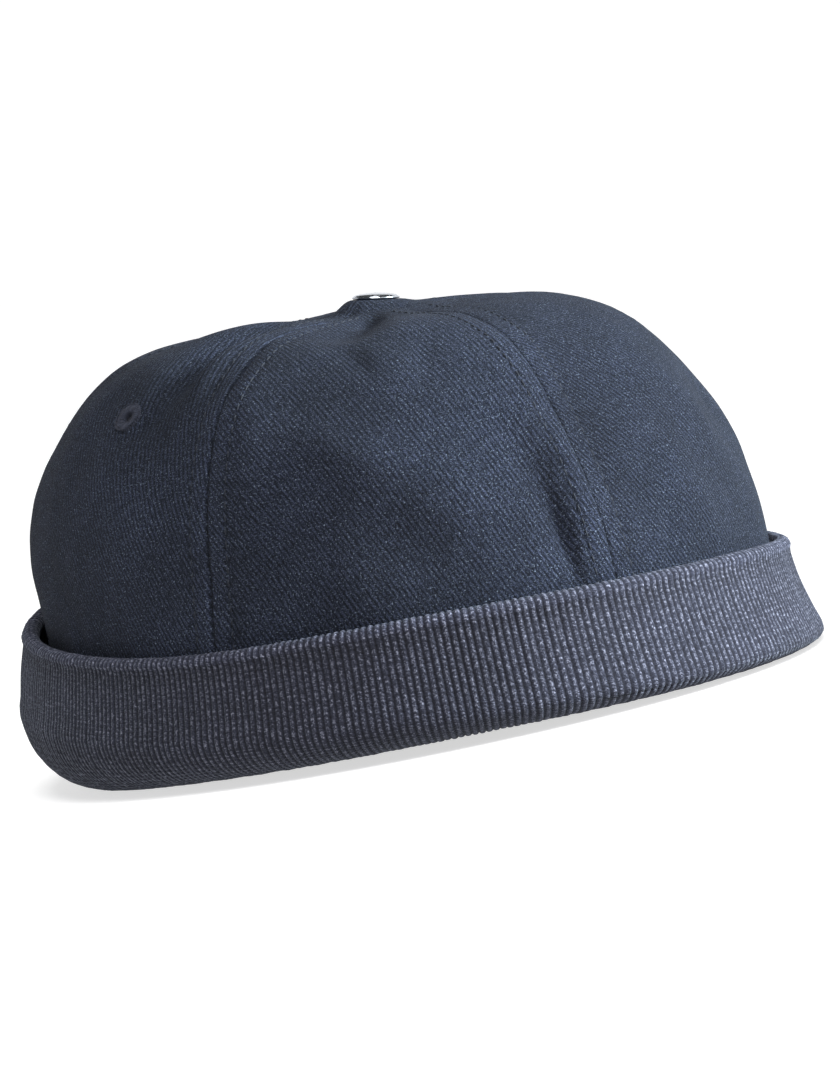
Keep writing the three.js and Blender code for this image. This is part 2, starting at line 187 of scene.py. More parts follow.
class CrownSizes(PropertyGroup):
    """Sizes of the twill crown."""
    length: size("Length", "Front to back over the panels' lower edge", 0.198)
    width: size("Width", "Side to side over the panels' lower edge", 0.172)
    height: size("Height", "From the floor to the panels' tips", 0.1028)
    foot: size("Foot", "Height of the panels' lower edge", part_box("front_right_panel")[0].z)
    cloth: size("Cloth", "Thickness of the twill with its seam allowances", 1.4 * MM)
    puff: size("Puff", "How far a panel stands out past its seams", 1.6 * MM)
    fold: size("Fold depth", "Depth of the deepest dent", 3.5 * MM)
    slack: size("Slack", "Height of the cloth's soft waves", 0.55 * MM)
    forward: size("Tip forward", "How far the slump carries the tip to the front", 10.8 * MM)
    left: size("Tip left", "How far the slump carries the tip to the left", 3.8 * MM)
    tip: size("Tip radius", "Radius of the opening round the button's post", 1.8 * MM)
    seam_gap: size("Seam gap", "Gap between two panels at a seam", 0.1 * MM)
    welt: size("Welt", "How far the folded allowance lifts the cloth beside a seam", 0.22 * MM)
    welt_width: size("Welt width", "From a seam to its topstitching", 5 * MM)


class CuffSizes(PropertyGroup):
    """Sizes of the rib-knit cuff."""
    height: size("Height", "Highest stretch of the turned-up band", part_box("cuff")[1].z)
    knit: size("Knit", "Thickness of the doubled knit", 3 * MM)
    standoff: size("Standoff", "Widest gap between crown and band", 4 * MM)
    flare: size("Flare", "How far the band's belly stands off", 6.8 * MM)
    lift: size("Lift", "How far the fold arches off the floor", 4 * MM)
    tuck: size("Tuck", "How far the fold rolls in under the band", 10 * MM)
    flat: size("Flat", "Width of the knit pressed flat where it rests", 2.4 * MM)
    press: size("Press", "How much thickness is pressed away there", 0.25 * MM)
    rib_depth: size("Rib depth", "Height of a rib over its grooves", 0.38 * MM)
    bead: size("Bead", "How far the cast-on edge is thicker than the band", 0.7 * MM)
    ribs: IntProperty(name="Ribs", description="Ribs round the cuff", default=352, min=60, max=600)


class TrimSizes(PropertyGroup):
    """Sizes of the button, the air holes and the stitching."""
    eyelet: size("Eyelet", "Across the stitched ring", 8.2 * MM)
    bore: size("Bore", "Across the open hole", 2.6 * MM)
    cord: size("Cord", "How far the ring stands up from the cloth", 0.75 * MM)
    stitch: size("Stitch", "Length of one stitch", 2.3 * MM)
    stitch_pitch: size("Stitch pitch", "From one stitch to the next", 3.1 * MM)
    thread: size("Thread", "Thickness of the sewing thread", 0.42 * MM)


class Finishes(PropertyGroup):
    """Colours of cloth, knit, thread and metal, and the strength of the lights."""
    twill_dark: colour("Twill shade", "Between the twill's lines", "#0C0E14")
    twill_light: colour("Twill", "On the twill's lines", "#1C202C")
    twill_nap: colour("Twill nap", "Raised fibres of the brushed cloth", "#758193")
    # The knit's shade colour is painted shade in the grooves, and its crest colour a painted highlight on the rib
    # crests
    knit_dark: colour("Knit shade", "In the grooves between ribs", "#0E0E15")
    knit_light: colour("Knit", "On the ground between ribs", "#22242F")
    knit_crest_highlight: colour("Knit crest", "On the thin crests of the ribs", "#646673")
    thread: colour("Thread", "Sewing thread", "#252931")
    eyelet: colour("Eyelet thread", "Thread round the air holes", "#282B36")
    metal: colour("Metal", "Polished nickel of the button", "#C9CED6")
    floor: colour("Floor", "The pale floor", "#C4C4C4")
    glow: FloatProperty(name="Floor glow", description="Light that comes up through the floor", default=0.64)
    sky: FloatProperty(name="Room light", description="Strength of the even light", default=0.08)
    key: FloatProperty(
        name="Key light", description="Power of the soft light at the right", default=133.0, unit="POWER"
    )
    fill: FloatProperty(
        name="Fill light", description="Power of the wide light in front", default=58.0, unit="POWER"
    )


def smooth_row(before, start, end, after, share):
    """Catmull-Rom curve through four neighbouring rows, at a share between the middle two."""
    slope = end - before
    bend = 2 * before - 5 * start + 4 * end - after
    twist = 3 * (start - end) + after - before
    return start + 0.5 * share * (slope + share * (bend + share * twist))


def table_at(rows, place, wrap=False):
    """Rows of a table at fractional places, counted in rows; wrap joins its last row to its first."""
    count = len(rows)
    index = np.floor(place).astype(int)
    if not wrap:
        index = np.clip(index, 0, count - 2)
    share = (place - index)[..., None]
    pick = (lambda i: rows[i % count]) if wrap else (lambda i: rows[np.clip(i, 0, count - 1)])
    return smooth_row(pick(index - 1), pick(index), pick(index + 1), pick(index + 2), share)


def turn_between(start, end):
    """Signed turn from one azimuth to another the short way round, in degrees."""
    return (end - start + 180.0) % 360.0 - 180.0


def fade(value, low, high):
    """0 below low, 1 above high and a smooth step between."""
    share = np.clip((value - low) / (high - low), 0.0, 1.0)
    return share * share * (3.0 - 2.0 * share)


def bump(distance, width):
    """Bell curve of a distance."""
    return np.exp(-((distance / width) ** 2))


def soft_waves(points, wavelength, seed):
    """Smooth random field from -1 to 1: the mean of twelve plane waves of one wavelength, with
    directions and phases from a fixed seed."""
    rng = np.random.default_rng(seed)
    ways = rng.normal(size=(12, 3))
    ways *= 2 * np.pi / wavelength / np.linalg.norm(ways, axis=1, keepdims=True)
    phases = rng.uniform(0, 2 * np.pi, 12)
    return np.cos(points @ ways.T + phases).sum(-1) / 5.0


def smooth_crown(s, azimuth, place):
    """The crown without relief: an oval drawn in and carried up by the profile's reach and rise,
    blended between lean and full by azimuth, its middle drifting towards the button's seat."""
    angle = np.radians(azimuth)
    row = table_at(PROFILE, place * (len(PROFILE) - 1))
    full = (1 + np.cos(angle - np.radians(SLUMP_AZIMUTH))) / 2
    reach = row[..., 0] * (1 - full) + row[..., 2] * full
    rise = row[..., 1] * (1 - full) + row[..., 3] * full
    drift = np.maximum(0, 1 - reach) ** DRIFT_POWER
    x = -np.sin(angle) * (s.tip + (s.width / 2 - s.tip) * reach) + s.left * drift
    y = -np.cos(angle) * (s.tip + (s.length / 2 - s.tip) * reach) - s.forward * drift
    return np.stack([x, y, s.foot + (s.height - s.foot) * rise], -1)


def crown_normal(s, azimuth, place):
    """Outward direction: the cross product of a step to the right and a step up."""
    across = smooth_crown(s, azimuth - 1, place) - smooth_crown(s, azimuth + 1, place)
    low = smooth_crown(s, azimuth, np.maximum(place - 0.01, 0))
    normal = np.cross(across, smooth_crown(s, azimuth, np.minimum(place + 0.01, 1)) - low)
    return normal / np.linalg.norm(normal, axis=-1, keepdims=True)


def fold_depth(rows, azimuth, place):
    """Sum of troughs, each a bell curve along its leaning line and another across it."""
    roundness = 1 - 0.85 * place ** 2
    depth = np.zeros(np.broadcast(azimuth, place).shape)
    for at, height, lean, length, width, deep in rows:
        aside = np.radians(turn_between(at, azimuth)) * roundness
        above = (place - height) * 1.5
        cos, sin = np.cos(np.radians(lean)), np.sin(np.radians(lean))
        along, across = above * cos + aside * sin, aside * cos - above * sin
        depth = depth + deep * bump(along, length) * bump(across, width)
    return depth * np.sqrt(np.sin(np.pi * np.clip(place, 0, 1)).clip(0))


def seam_azimuth(number, place):
    """Azimuth of a panel's own seam: straight from foot to tip, bowed by a half sine."""
    name, foot, tip, bow, crisp, hole = PANELS[number]
    return foot + (tip - foot) * place + bow * np.sin(np.pi * place)


def panel_point(s, number, share, place, sunk=0.0):
    """Points of a panel, their normals, their distances in metres from its middle line and up from
    its foot, and a tone that mixes wear with painted light and shade, from -1 where painted shade
    darkens a seam line to 1 on a paler ridge: painted shade also darkens the dimples of the
    topstitching, the dents and the wave troughs, a painted highlight runs along one side of a seam,
    and welts, wave crests and ridges are paler, partly from rubbing and partly as painted light.
    share runs from seam to seam and place from foot to tip. The relief over the smooth crown is
    puff, folds, soft waves, a V at each seam, a welt up to the topstitching and a dip along it.
    Round the tip the cloth climbs to the button."""
    share, place = np.broadcast_arrays(np.asarray(share, float), np.asarray(place, float))
    seam = seam_azimuth(number, place)
    width = turn_between(seam, seam_azimuth((number + 1) % len(PANELS), place))
    degree = np.linalg.norm(smooth_crown(s, seam - 0.5, place) - smooth_crown(s, seam + 0.5, place), axis=-1)
    margin = s.seam_gap / 2 / degree
    azimuth = seam + margin + (width - 2 * margin) * share
    fine = np.linspace(0, 1, 25)
    run = smooth_crown(s, seam[..., None] + width[..., None] * fine, place[..., None] + 0 * fine)
    across = np.linalg.norm(np.diff(run, axis=-2), axis=-1).sum(-1)
    up_run = np.linspace(0, 1, 241)
    spine = smooth_crown(s, PANELS[number][1] + 29.0 + 0 * up_run, up_run)
    climbed = np.concatenate([[0], np.cumsum(np.linalg.norm(np.diff(spine, axis=0), axis=1))])
    up = np.interp(place, up_run, climbed)

    base = smooth_crown(s, azimuth, place)
    normal = crown_normal(s, azimuth, place)
    aside = np.minimum(share, 1 - share) * across
    own = fade(across, 12 * MM, 34 * MM)
    swell = np.sin(np.pi * np.clip((place - PUFF_START) / (1 - PUFF_START), 0, 1))
    puff = s.puff * np.sin(np.pi * share) * swell
    sunken = fold_depth(FOLDS, azimuth, place) + fold_depth(CREASES, azimuth, place)
    calm = fade(1 - place, 0.02, 0.2)
    waves = s.slack * calm * (
        soft_waves(base, 47 * MM, 3) + 0.5 * soft_waves(base, 23 * MM, 5) + 0.16 * soft_waves(base, 9 * MM, 8)
    )
    pucker = soft_waves(base, 7 * MM, 11) * bump(aside - s.welt_width, 4 * MM) * 0.07 * MM
    welt = s.welt * (1 - fade(aside, s.welt_width * 0.86, s.welt_width * 1.2))
    hold = 0.6 + 0.4 * np.cos(2 * np.pi * up / (3.1 * MM))
    dip = 0.3 * MM * bump(aside - s.welt_width * 1.02, 0.7 * MM) * hold
    valley = 0.5 * MM * bump(aside, 0.55 * MM)
    crisp = np.where(share < 0.5, PANELS[number][4], PANELS[(number + 1) % len(PANELS)][4])
    relief = puff - s.fold * sunken + waves + (pucker + welt - dip - valley * crisp) * own
    # Painted seam marks, faded out towards the tip: a painted highlight along one side of a seam, and painted shade in
    # the seam line and in dashes at the dimples of the topstitching
    seen = own * crisp * (1 - 0.7 * fade(place, 0.5, 0.68))
    edge = bump(aside - 0.9 * MM, 0.6 * MM) * (share < 0.5) * seen
    dash = fade(np.cos(2 * np.pi * up / (3.1 * MM)), -0.5, 0.5)
    seam_shade = bump(aside, 0.5 * MM) + 0.9 * bump(aside - s.welt_width * 1.02, 0.6 * MM) * dash
    # Tone: wear and painted light on welts, wave crests and ridges, painted shade in dents and wave troughs, and the
    # painted seam marks
    painted_light_and_wear = np.clip(0.35 * welt * own / s.welt + 0.25 * waves / s.slack - 0.2 * sunken + edge - 1.4 * seam_shade * seen, -1, 1)
    points = base + normal * relief[..., None]
    offset = points[..., :2] - np.array([s.left, -s.forward])
    near = 1 - fade(np.linalg.norm(offset, axis=-1), 5.6 * MM, 15 * MM)
    seat = s.height + 0.9 * MM - offset @ np.array(BUTTON_LEAN)
    points[..., 2] += (seat - points[..., 2]) * near ** 2
    points -= normal * np.asarray(sunk)[..., None]
    return points, normal, (share - 0.5) * across, up, painted_light_and_wear


def shell_faces(rows, columns, kept=None):
    """Quads of a closed shell over two grids of points, outer then inner: the kept cells of the
    outer grid, the same cells of the inner one turned round, and a wall wherever a kept cell has
    no kept neighbour."""
    kept = np.ones((rows - 1, columns - 1), bool) if kept is None else kept
    ring = np.pad(kept, 1)
    row, column = np.nonzero(kept)
    corners = [row * columns + column + step for step in (0, columns, columns + 1, 1)]
    outer = np.stack(corners, -1)
    inner = outer[:, ::-1] + rows * columns
    walls = []
    for side, (down, right) in enumerate(((0, -1), (1, 0), (0, 1), (-1, 0))):
        edge = ~ring[row + 1 + down, column + 1 + right]
        start, end = corners[side][edge], corners[(side + 1) % 4][edge]
        walls.append(np.stack([end, start, start + rows * columns, end + rows * columns], -1))
    return np.concatenate([outer, inner, *walls])


def wrapped_faces(rows, columns):
    """Quads of a grid whose rows and columns both join up, with corner places for its UV map."""
    row, column = np.meshgrid(np.arange(rows), np.arange(columns), indexing="ij")
    row, column = row.ravel()[:, None], column.ravel()[:, None]
    down, right = row + np.array([0, 1, 1, 0]), column + np.array([0, 0, 1, 1])
    return (down % rows) * columns + right % columns, down, right


def make_piece(name, points, faces, corner_uv, material, painted_light_and_wear=None):
    """A smooth mesh object from arrays, without the points that no face uses, its place in its
    mesh. It rides on the body."""
    used, flat = np.unique(faces, return_inverse=True)
    mesh = bpy.data.meshes.new(name)
    mesh.from_pydata(points.reshape(-1, 3)[used].tolist(), [], flat.reshape(faces.shape).tolist())
    mesh.uv_layers.new(name="UVMap").data.foreach_set("uv", np.ascontiguousarray(corner_uv, np.float32).ravel())
    # The optional point attribute carries a tone of wear and painted light and shade into the material
    if painted_light_and_wear is not None:
        layer = mesh.attributes.new("painted_light_and_wear", "FLOAT", "POINT")
        layer.data.foreach_set("value", np.ascontiguousarray(painted_light_and_wear.ravel()[used], np.float32))
    mesh.polygons.foreach_set("use_smooth", np.ones(len(mesh.polygons), bool))
    mesh.materials.append(material)
    mesh.validate()
    piece = bpy.data.objects.new(name, mesh)
    bpy.context.scene.collection.objects.link(piece)
    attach(piece, BODY)
    return piece


def add_node(tree, kind, inputs=(), **settings):
    """Adds a node, sets its settings, and fills its inputs from values or from other sockets."""
    node = tree.nodes.new(kind)
    for key, value in settings.items():
        setattr(node, key, value)
    for key, value in dict(inputs).items():
        if isinstance(value, bpy.types.NodeSocket):
            tree.links.new(value, node.inputs[key])
        else:
            node.inputs[key].default_value = value
    return node


def new_material(name):
    """An empty material with a Principled shader, and its tree."""
    material = bpy.data.materials.new(name)
    material.use_nodes = True
    tree = material.node_tree
    return material, tree, tree.nodes["Principled BSDF"]


def ramp(tree, factor, stops):
    """A colour ramp with the given places and colours."""
    node = add_node(tree, "ShaderNodeValToRGB", {"Fac": factor})
    elements = node.color_ramp.elements
    for element, (place, value) in zip(elements, (stops[0], stops[-1])):
        element.position, element.color = place, value
    for place, value in stops[1:-1]:
        elements.new(place).color = value
    return node.outputs["Color"]


def with_alpha(value):
    return tuple(value) + (1.0,)


def shaded(value, share):
    """A linear colour made darker or paler by a share."""
    return tuple(min(1.0, c * share) for c in value) + (1.0,)


def twill_material(looks):
    """Brushed cotton twill, piece dyed navy: steep diagonal wales 1.2 mm apart, broken by slubs
    and by a short pale nap that catches the light."""
    material, tree, shader = new_material("brushed_cotton_twill")
    wale, slub, fibre, lean = 1.17 * MM, 2.0 * MM, 0.38 * MM, np.radians(27)
    uv = add_node(tree, "ShaderNodeUVMap", uv_map="UVMap").outputs["UV"]
    turned = add_node(tree, "ShaderNodeMapping", {"Vector": uv, "Rotation": (0, 0, lean)}).outputs["Vector"]
    wave = add_node(
        tree, "ShaderNodeTexWave",
        {"Vector": turned, "Scale": 0.31416 / wale, "Distortion": 3.0, "Detail": 3.0,
         "Detail Scale": 0.8 / slub, "Detail Roughness": 0.7},
        bands_direction="X",
    ).outputs["Fac"]
    long_way = add_node(
        tree, "ShaderNodeMapping", {"Vector": turned, "Scale": (1.6 / wale, 1 / slub, 1)}
    ).outputs["Vector"]
    slubs = noise(tree, long_way, 1.0, 3.0, 0.6)
    fibres = noise(tree, uv, 1 / fibre, 2.0, 0.75)
    nap = noise(tree, uv, 0.85 / fibre, 1.0, 0.5)
    wear = noise(tree, uv, 1 / (16 * MM), 3.0, 0.6)
    lines = mapped(tree, wave, 0.0, 1.0, 0.62, 1.34)
    broken = mapped(tree, slubs, 0.25, 0.75, 0.4, 1.6)
    grain = mapped(tree, fibres, 0.32, 0.68, 0.0, 2.0)
    weave = maths(tree, "MULTIPLY", maths(tree, "MULTIPLY", lines, broken), grain)
    body = ramp(tree, maths(tree, "MULTIPLY", weave, 0.5), [
        (0.1, with_alpha(looks.twill_dark)),
        (0.48, with_alpha(looks.twill_light)),
        (1.0, shaded(looks.twill_light, 3.6)),
    ])
    tips = mapped(tree, nap, 0.62, 0.78, 0.0, 1.0)
    flecked = mix_colour(tree, tips, body, with_alpha(looks.twill_nap))
    # Tone from the panels' point attribute, wear mixed with painted light and shade, times a slow random tone of the
    # cloth
    painted_light_and_wear = add_node(tree, "ShaderNodeAttribute", attribute_name="painted_light_and_wear").outputs["Fac"]
    tone = maths(
        tree, "MULTIPLY", mapped(tree, painted_light_and_wear, -1.0, 1.0, 0.5, 1.35), mapped(tree, wear, 0.3, 0.7, 0.82, 1.18)
    )
    toned = add_node(tree, "ShaderNodeVectorMath", {0: flecked, "Scale": tone}, operation="SCALE")
    height = maths(tree, "MULTIPLY_ADD", fibres, 1.2, maths(tree, "MULTIPLY", lines, broken))
    relief = add_node(tree, "ShaderNodeBump", {"Height": height, "Strength": 0.9, "Distance": 0.45 * MM})
    tree.links.new(toned.outputs["Vector"], shader.inputs["Base Color"])
    tree.links.new(relief.outputs["Normal"], shader.inputs["Normal"])
    shader.inputs["Roughness"].default_value = 0.95
    shader.inputs["Specular IOR Level"].default_value = 0.12
    shader.inputs["Sheen Weight"].default_value = 0.03
    shader.inputs["Sheen Roughness"].default_value = 0.5
    shader.inputs["Sheen Tint"].default_value = linear("#AFC3DA")
    return material


def noise(tree, vector, scale, detail, roughness):
    """Factor of a noise texture."""
    inputs = {"Vector": vector, "Scale": scale, "Detail": detail, "Roughness": roughness}
    return add_node(tree, "ShaderNodeTexNoise", inputs).outputs["Fac"]


def mapped(tree, value, low, high, start, end):
    """A value carried from one range to another and held at its ends."""
    inputs = {"Value": value, "From Min": low, "From Max": high, "To Min": start, "To Max": end}
    return add_node(tree, "ShaderNodeMapRange", inputs).outputs["Result"]


def maths(tree, operation, *values):
    """Result of one operation on up to three values."""
    return add_node(tree, "ShaderNodeMath", dict(enumerate(values)), operation=operation).outputs["Value"]


def mix_colour(tree, factor, first, second):
    """Colour between two colours or sockets by a factor."""
    node = tree.nodes.new("ShaderNodeMix")
    node.data_type = "RGBA"
    for socket, value in zip((node.inputs[0], node.inputs[6], node.inputs[7]), (factor, first, second)):
        if isinstance(value, bpy.types.NodeSocket):
            tree.links.new(value, socket)
        else:
            socket.default_value = value
    return node.outputs[2]


def knit_material(looks):
    """Rib knit of soft-spun cotton: each rib is a fuzzy crest of stitches 1.25 mm high, in two
    columns, with a painted highlight on the crest and painted shade in the narrow grooves
    between ribs. The UV map counts ribs across and metres along."""
    material, tree, shader = new_material("cotton_rib_knit")
    course = 1.25 * MM
    uv = add_node(tree, "ShaderNodeUVMap", uv_map="UVMap").outputs["UV"]
    parts = add_node(tree, "ShaderNodeSeparateXYZ", {"Vector": uv})
    count, along = parts.outputs["X"], maths(tree, "DIVIDE", parts.outputs["Y"], course)
    even = add_node(tree, "ShaderNodeCombineXYZ", {"X": count, "Y": along}).outputs["Vector"]
    sway = mapped(tree, noise(tree, even, 0.8, 2.0, 0.6), 0.0, 1.0, -0.18, 0.18)
    aside = maths(tree, "MULTIPLY", maths(tree, "PINGPONG", maths(tree, "ADD", count, sway), 0.5), 2.0)
    # Painted highlight along each rib's crest, falling off to painted shade in its grooves
    crest = maths(
        tree, "MULTIPLY", mapped(tree, aside, 0.25, 0.95, 1.0, 0.15), mapped(tree, aside, 0.0, 0.3, 0.8, 1.0)
    )
    slant = maths(tree, "MULTIPLY_ADD", aside, 0.55, along)
    wave = maths(tree, "SINE", maths(tree, "MULTIPLY", slant, 2 * np.pi))
    stitch = maths(tree, "MULTIPLY_ADD", wave, 0.5, 0.5)
    grain = noise(tree, even, 2.6, 2.0, 0.75)
    tufts = noise(tree, even, 1.1, 2.0, 0.6)
    slack = noise(tree, even, 0.1, 2.0, 0.5)
    dashes = maths(tree, "MULTIPLY", mapped(tree, tufts, 0.3, 0.65, 0.5, 1.0), mapped(tree, wave, -1.0, 1.0, 0.85, 1.0))
    fuzz = mapped(tree, grain, 0.3, 0.7, 0.35, 1.3)
    light = maths(tree, "MULTIPLY", maths(tree, "MULTIPLY", crest, dashes), fuzz)
    body = ramp(tree, light, [
        (0.05, with_alpha(looks.knit_dark)),
        (0.5, with_alpha(looks.knit_light)),
        (1.0, with_alpha(looks.knit_crest_highlight)),
    ])
    # The point attribute scales the colour: on the cuff it holds painted light and shade, a highlight on the top edge,
    # a shadow under it and a pool of light at the front
    painted_light_and_wear = add_node(tree, "ShaderNodeAttribute", attribute_name="painted_light_and_wear").outputs["Fac"]
    tone = maths(
        tree, "MULTIPLY", mapped(tree, slack, 0.3, 0.7, 0.88, 1.12), mapped(tree, painted_light_and_wear, -1.0, 1.0, 0.4, 1.6)
    )
    toned = add_node(tree, "ShaderNodeVectorMath", {0: body, "Scale": tone}, operation="SCALE")
    height = maths(tree, "MULTIPLY_ADD", grain, 1.0, maths(tree, "MULTIPLY", stitch, 0.25))
    relief = add_node(tree, "ShaderNodeBump", {"Height": height, "Strength": 0.9, "Distance": 0.4 * MM})
    tree.links.new(toned.outputs["Vector"], shader.inputs["Base Color"])
    tree.links.new(relief.outputs["Normal"], shader.inputs["Normal"])
    shader.inputs["Roughness"].default_value = 0.9
    shader.inputs["Specular IOR Level"].default_value = 0.2
    shader.inputs["Sheen Weight"].default_value = 0.12
    shader.inputs["Sheen Roughness"].default_value = 0.4
    shader.inputs["Sheen Tint"].default_value = linear("#B9C6D8")
    return material


def thread_material(name, dye):
    """Spun polyester sewing thread: two plies twisted together, with a soft shine."""
    material, tree, shader = new_material(name)
    uv = add_node(tree, "ShaderNodeUVMap", uv_map="UVMap").outputs["UV"]
    ply = add_node(
        tree, "ShaderNodeTexWave", {"Vector": uv, "Scale": 0.31416 / (0.5 * MM), "Distortion": 1.0},
        bands_direction="DIAGONAL",
    ).outputs["Fac"]
    body = ramp(tree, ply, [(0.1, shaded(dye, 0.62)), (0.9, shaded(dye, 1.35))])
    relief = add_node(tree, "ShaderNodeBump", {"Height": ply, "Strength": 0.5, "Distance": 0.1 * MM}).outputs["Normal"]
    tree.links.new(body, shader.inputs["Base Color"])
    tree.links.new(relief, shader.inputs["Normal"])
    shader.inputs["Roughness"].default_value = 0.7
    shader.inputs["Specular IOR Level"].default_value = 0.15
    shader.inputs["Sheen Weight"].default_value = 0.03
    return material


def metal_material(looks):
    """Stamped and polished nickel plate: bright, with faint rubbing marks."""
    material, tree, shader = new_material("polished_nickel_plate")
    place = add_node(tree, "ShaderNodeTexCoord").outputs["Object"]
    marks = add_node(tree, "ShaderNodeTexNoise", {"Vector": place, "Scale": 900.0, "Detail": 4.0}).outputs["Fac"]
    rough = add_node(
        tree, "ShaderNodeMapRange", {"Value": marks, "From Min": 0.35, "From Max": 0.7, "To Min": 0.1, "To Max": 0.24}
    ).outputs["Result"]
    relief = add_node(tree, "ShaderNodeBump", {"Height": marks, "Strength": 0.12, "Distance": 0.05 * MM}).outputs["Normal"]
    body = ramp(tree, marks, [(0.3, shaded(looks.metal, 0.88)), (0.7, with_alpha(looks.metal))])
    tree.links.new(body, shader.inputs["Base Color"])
    tree.links.new(rough, shader.inputs["Roughness"])
    tree.links.new(relief, shader.inputs["Normal"])
    shader.inputs["Metallic"].default_value = 1.0
    return material


def cap_shift():
    """How far the cap's own frame, whose origin is under the middle of the panels' oval, lies from
    the row frame: the middle of the cuff's box against the middle of the same outline here."""
    here = cuff_grid(bpy.context.scene.cap_cuff, bpy.context.scene.cap_crown, 720, plain=True)[0]
    low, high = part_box("cuff")
    middle = (here.reshape(-1, 3).max(0) + here.reshape(-1, 3).min(0)) / 2
    return np.array([(low.x + high.x) / 2 - middle[0], (low.y + high.y) / 2 - middle[1], 0.0])


def cuff_middle(c, foot, row):
    """Middle line of the cuff's section, as out from the panels' edge and up: down the band,
    round the fold, along the pressed flat and up the inner leg."""
    top, lift, standoff, flare, belly, bow, tuck = np.moveaxis(row, -1, 0)
    half = c.knit / 2
    floor = c.lift * np.maximum(0, lift)
    height = c.height * top
    edge_out, edge_up = half + c.standoff * standoff, height - half - c.bead
    belly_out, belly_up = half + c.flare * flare, floor + (height - floor) * belly
    fold_out, fold_up = -c.tuck * tuck, floor + half - c.press
    turn_in, leg_up = fold_out - c.flat / 2 - 0.75 * c.knit, foot - 0.3 * MM
    line = [(edge_out + (belly_out - edge_out) * u ** bow, edge_up + (belly_up - edge_up) * u) for u in BAND_SHARES]
    start = fold_out + c.flat / 2
    for angle in np.radians(ROLL_ANGLES):
        line.append((start + (belly_out - start) * np.cos(angle), belly_up + (fold_up - belly_up) * np.sin(angle)))
    line += [(start, fold_up), (start - c.flat, fold_up)]
    line += [(-half + (turn_in + half) * inward, fold_up + (leg_up - fold_up) * up) for inward, up in LEG_SHARES]
    return np.stack([np.stack(np.broadcast_arrays(*point), -1) for point in line], -2)


def cuff_grid(c, s, columns, plain=False):
    """The cuff's outer skin as a grid of outline points by columns, with each point's rib count
    and length along the outline. Columns stand at equal steps round the panels' oval. The outline
    runs up the outside, over the crest and down the inside at half the knit's thickness from the
    middle line, and a rib adds the height of a rounded ridge."""
    fine = np.linspace(0, 360, 1441)
    oval = np.stack([-np.sin(np.radians(fine)) * s.width / 2, -np.cos(np.radians(fine)) * s.length / 2], -1)
    walked = np.concatenate([[0], np.cumsum(np.linalg.norm(np.diff(oval, axis=0), axis=1))])
    azimuth = np.interp(np.arange(columns) / columns * walked[-1], walked, fine)
    middle = cuff_middle(c, s.foot, table_at(CUFF_RING, (azimuth - CUFF_START) / 45.0, wrap=True))
    outside = np.concatenate([np.linspace(11, 4, 18), np.linspace(3.8, 0, 24)])
    crest = np.linspace(0, 180, 7)[1:-1]
    inside = np.concatenate([np.linspace(0, 4, 9), np.linspace(4.6, 11, 12)])
    station = np.concatenate([outside, 0 * crest, inside])
    tilt = np.radians(np.concatenate([0 * outside, crest, 0 * inside + 180]))

    lines = np.moveaxis(middle, 1, 0)
    at = lambda places: table_at(lines.reshape(len(lines), -1), places).reshape(len(places), columns, 2)
    run = at(np.clip(station + 0.02, 0, 11)) - at(np.clip(station - 0.02, 0, 11))
    run /= np.linalg.norm(run, axis=-1, keepdims=True)
    run[station == 11] = (0.0, 1.0)
    away = np.stack([-run[..., 1], run[..., 0]], -1) * np.cos(tilt)[:, None, None] - run * np.sin(tilt)[:, None, None]
    rib = np.arange(columns) / columns * c.ribs
    ridge = np.zeros((len(station), columns))
    if not plain:
        rng = np.random.default_rng(21)
        each = 1 + 0.22 * rng.uniform(-1, 1, c.ribs)[np.floor(rib + 0.5).astype(int) % c.ribs]
        off = np.abs((rib + 0.5) % 1 - 0.5) * 2
        ridge = c.rib_depth * (each * (1 - off ** 3) - 0.7)[None, :] * np.where(station < 10.6, 1.0, 0.3)[:, None]
    bead = c.bead * bump(station, 0.16)[:, None]
    flat = at(station) + away * (c.knit / 2 + ridge + bead)[..., None]
    turn = np.radians(azimuth)
    edge = np.stack([-np.sin(turn) * s.width / 2, -np.cos(turn) * s.length / 2], -1)
    out = np.stack([-np.sin(turn) * s.length, -np.cos(turn) * s.width], -1)
    out /= np.linalg.norm(out, axis=-1, keepdims=True)
    plan = edge + out * flat[..., :1]
    points = np.concatenate([plan, np.maximum(flat[..., 1:], 0)], -1)
    walk = np.linalg.norm(np.diff(points[:, ::columns // 8], axis=0), axis=-1).mean(-1)
    outer = np.arange(len(station))[:, None] < len(outside) + 3
    # Painted light and shade on the outside of the band: a highlight on the cast-on edge, a shadow just under it and a
    # pool of light at the front
    painted_light_pool = 0.6 * bump(turn_between(PAINTED_LIGHT_AZIMUTH, azimuth), 34.0)[None, :]
    cuff_light_and_shade = (bump(station, 0.12)[:, None] - 0.3 * bump(station - 0.4, 0.25)[:, None] + painted_light_pool) * outer
    return points, rib, np.concatenate([[0], np.cumsum(walk)]), cuff_light_and_shade


def sewn_row(s, number, from_own_seam, trim, shift):
    """Stitches along one row of topstitching, at equal steps along the line at the welt's width
    from a seam, as far as there is room for it."""
    place = np.linspace(0.01, 0.93, 500)
    width = 2 * panel_point(s, number, np.ones_like(place), place)[2]
    share = np.clip(s.welt_width * 1.02 / width, 0, 0.5)
    line, normal = panel_point(s, number, share if from_own_seam else 1 - share, place)[:2]
    walked = np.concatenate([[0], np.cumsum(np.linalg.norm(np.diff(line, axis=0), axis=1))])
    starts = np.arange(0, walked[width > 17 * MM].max() - trim.stitch, trim.stitch_pitch)
    at = lambda values, where: np.stack([np.interp(where, walked, values[:, k]) for k in range(3)], -1)
    return rods(at(line, starts), at(line, starts + trim.stitch), at(normal, starts), trim.thread, 0.7, 0.45) + shift


